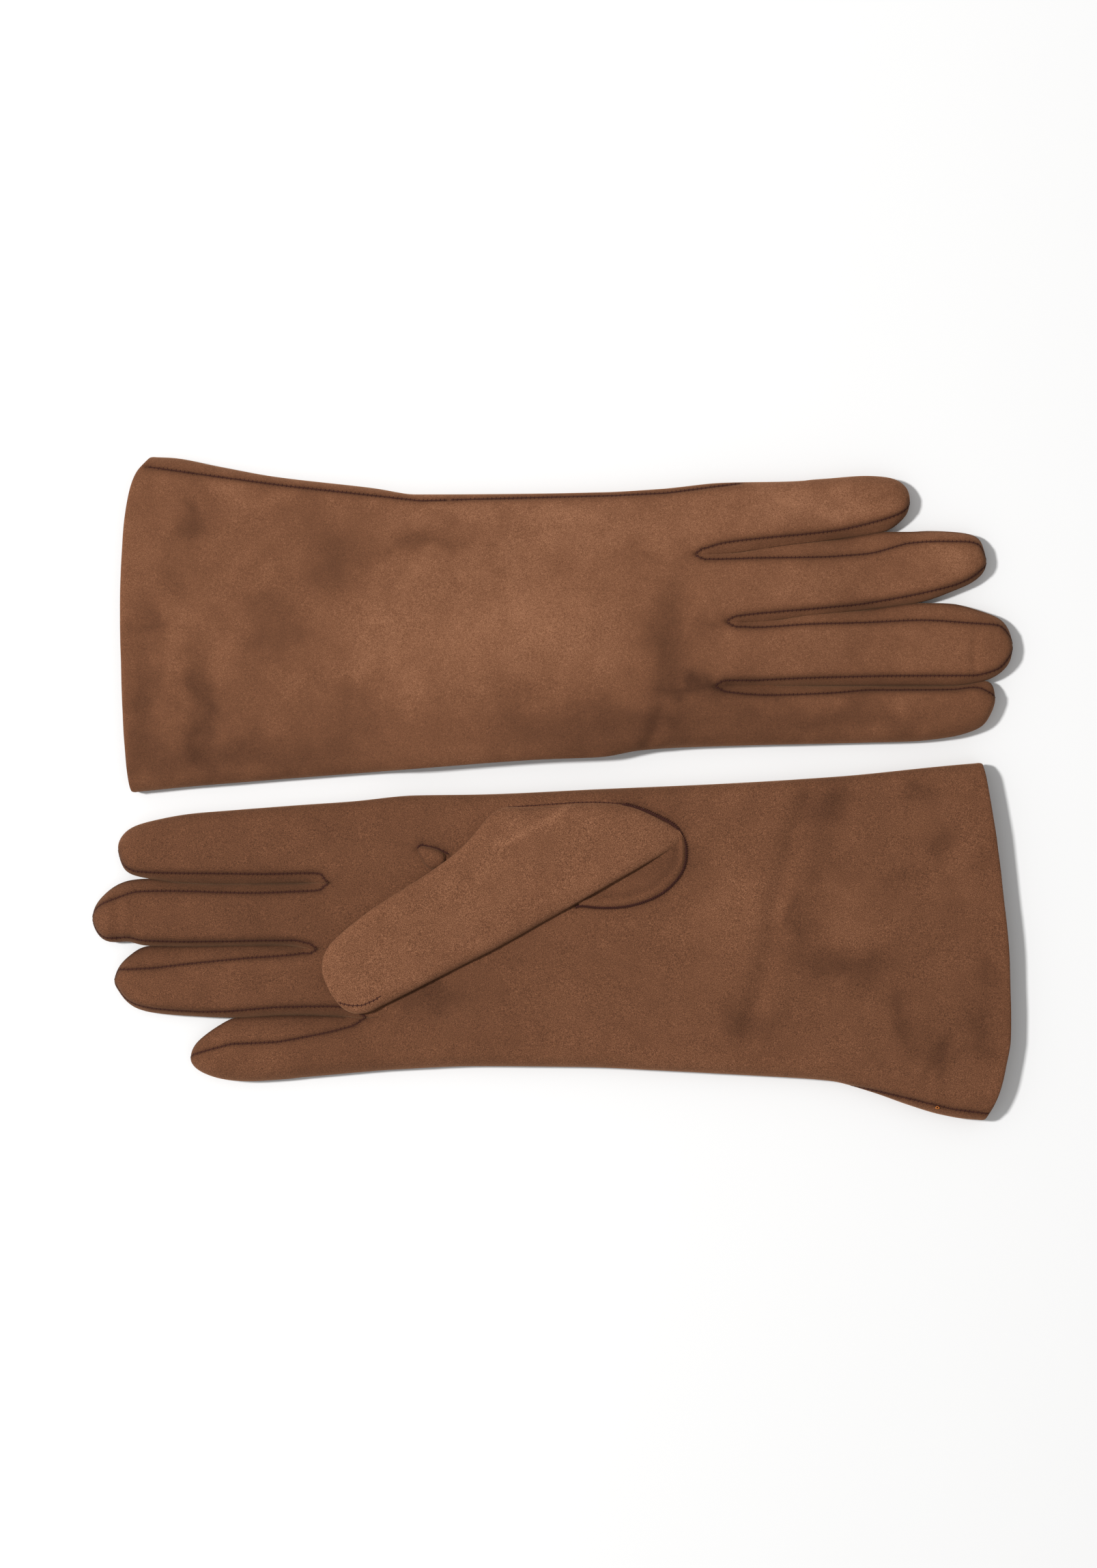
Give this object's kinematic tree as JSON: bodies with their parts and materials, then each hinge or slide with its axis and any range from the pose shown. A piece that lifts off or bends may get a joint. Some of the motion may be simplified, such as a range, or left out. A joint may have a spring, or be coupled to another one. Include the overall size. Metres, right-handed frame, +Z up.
{
  "type": "leather gloves",
  "caption": "Long suede dress gloves lying flat, one back up and the other palm up, with hinged fingers, folded thumbs and flared gauntlet cuffs.",
  "frame": {"origin": "centre of the bounding box's base, on the surface that both gloves lie on", "axes": "+Z up; the left glove lies on the +Y side with its fingers to +X, and the right glove on the -Y side with its fingers to -X"},
  "size_m": [0.3224, 0.232, 0.0137],
  "materials": {
    "suede": "napped suede",
    "lining": "thin silk",
    "thread": "matte thread"
  },
  "bodies": {
    "right_hand": {"right_hand": "suede", "right_thumb_base": "suede", "right_quirk": "suede", "right_hand_lining": "lining", "right_hand_stitching": "thread"},
    "right_gauntlet": {"right_gauntlet": "suede", "right_hem_facing": "suede", "right_gauntlet_lining": "lining", "right_gauntlet_stitching": "thread"},
    "right_thumb": {"right_thumb": "suede", "right_thumb_lining": "lining"},
    "right_index": {"right_index_stall": "suede", "right_index_fourchette": "suede", "right_index_lining": "lining", "right_index_stitching": "thread"},
    "right_middle": {"right_middle_stall": "suede", "right_middle_fourchette_index_side": "suede", "right_middle_fourchette_ring_side": "suede", "right_middle_lining": "lining", "right_middle_stitching": "thread"},
    "right_ring": {"right_ring_stall": "suede", "right_ring_fourchette_middle_side": "suede", "right_ring_fourchette_little_side": "suede", "right_ring_lining": "lining", "right_ring_stitching": "thread"},
    "right_little": {"right_little_stall": "suede", "right_little_fourchette": "suede", "right_little_lining": "lining", "right_little_stitching": "thread"},
    "left_hand": {"left_hand": "suede", "left_thumb_base": "suede", "left_quirk": "suede", "left_hand_lining": "lining", "left_hand_stitching": "thread"},
    "left_gauntlet": {"left_gauntlet": "suede", "left_hem_facing": "suede", "left_gauntlet_lining": "lining", "left_gauntlet_stitching": "thread"},
    "left_thumb": {"left_thumb": "suede", "left_thumb_lining": "lining"},
    "left_index": {"left_index_stall": "suede", "left_index_fourchette": "suede", "left_index_lining": "lining", "left_index_stitching": "thread"},
    "left_middle": {"left_middle_stall": "suede", "left_middle_fourchette_index_side": "suede", "left_middle_fourchette_ring_side": "suede", "left_middle_lining": "lining", "left_middle_stitching": "thread"},
    "left_ring": {"left_ring_stall": "suede", "left_ring_fourchette_middle_side": "suede", "left_ring_fourchette_little_side": "suede", "left_ring_lining": "lining", "left_ring_stitching": "thread"},
    "left_little": {"left_little_stall": "suede", "left_little_fourchette": "suede", "left_little_lining": "lining", "left_little_stitching": "thread"}
  },
  "joints": [
    {"name": "left_glove_lift", "type": "slide", "parent": "right_hand", "child": "left_hand", "axis": [0, 0, 1], "range_m": [0, 0.15]},
    {"name": "right_wrist_bend", "type": "hinge", "parent": "right_hand", "child": "right_gauntlet", "pos_m": [0.058, -0.05, 0.0042], "axis": [0, 1, 0], "range_deg": [-40, 40]},
    {"name": "right_index_bend", "type": "hinge", "parent": "right_hand", "child": "right_index", "pos_m": [-0.087, -0.022, 0.004], "axis": [0, 1, 0], "range_deg": [-15, 75]},
    {"name": "right_middle_bend", "type": "hinge", "parent": "right_hand", "child": "right_middle", "pos_m": [-0.087, -0.048, 0.004], "axis": [0, 1, 0], "range_deg": [-15, 75]},
    {"name": "right_ring_bend", "type": "hinge", "parent": "right_hand", "child": "right_ring", "pos_m": [-0.087, -0.07, 0.004], "axis": [0, 1, 0], "range_deg": [-15, 75]},
    {"name": "right_little_bend", "type": "hinge", "parent": "right_hand", "child": "right_little", "pos_m": [-0.072, -0.092, 0.004], "axis": [0, 1, 0], "range_deg": [-15, 75]},
    {"name": "right_thumb_opening", "type": "hinge", "parent": "right_hand", "child": "right_thumb", "pos_m": [-0.009, -0.026, 0.0112], "axis": [-0.515, 0.8572, 0], "range_deg": [0, 75]},
    {"name": "left_wrist_bend", "type": "hinge", "parent": "left_hand", "child": "left_gauntlet", "pos_m": [-0.058, 0.05, 0.0042], "axis": [0, 1, 0], "range_deg": [-40, 40]},
    {"name": "left_index_bend", "type": "hinge", "parent": "left_hand", "child": "left_index", "pos_m": [0.087, 0.022, 0.004], "axis": [0, 1, 0], "range_deg": [-15, 75]},
    {"name": "left_middle_bend", "type": "hinge", "parent": "left_hand", "child": "left_middle", "pos_m": [0.087, 0.048, 0.004], "axis": [0, 1, 0], "range_deg": [-15, 75]},
    {"name": "left_ring_bend", "type": "hinge", "parent": "left_hand", "child": "left_ring", "pos_m": [0.087, 0.07, 0.004], "axis": [0, 1, 0], "range_deg": [-15, 75]},
    {"name": "left_little_bend", "type": "hinge", "parent": "left_hand", "child": "left_little", "pos_m": [0.072, 0.092, 0.004], "axis": [0, 1, 0], "range_deg": [-15, 75]},
    {"name": "left_thumb_opening", "type": "hinge", "parent": "left_hand", "child": "left_thumb", "pos_m": [0.008, 0.033, 0.0025], "axis": [-0.454, 0.891, 0], "range_deg": [0, 75]}
  ]
}
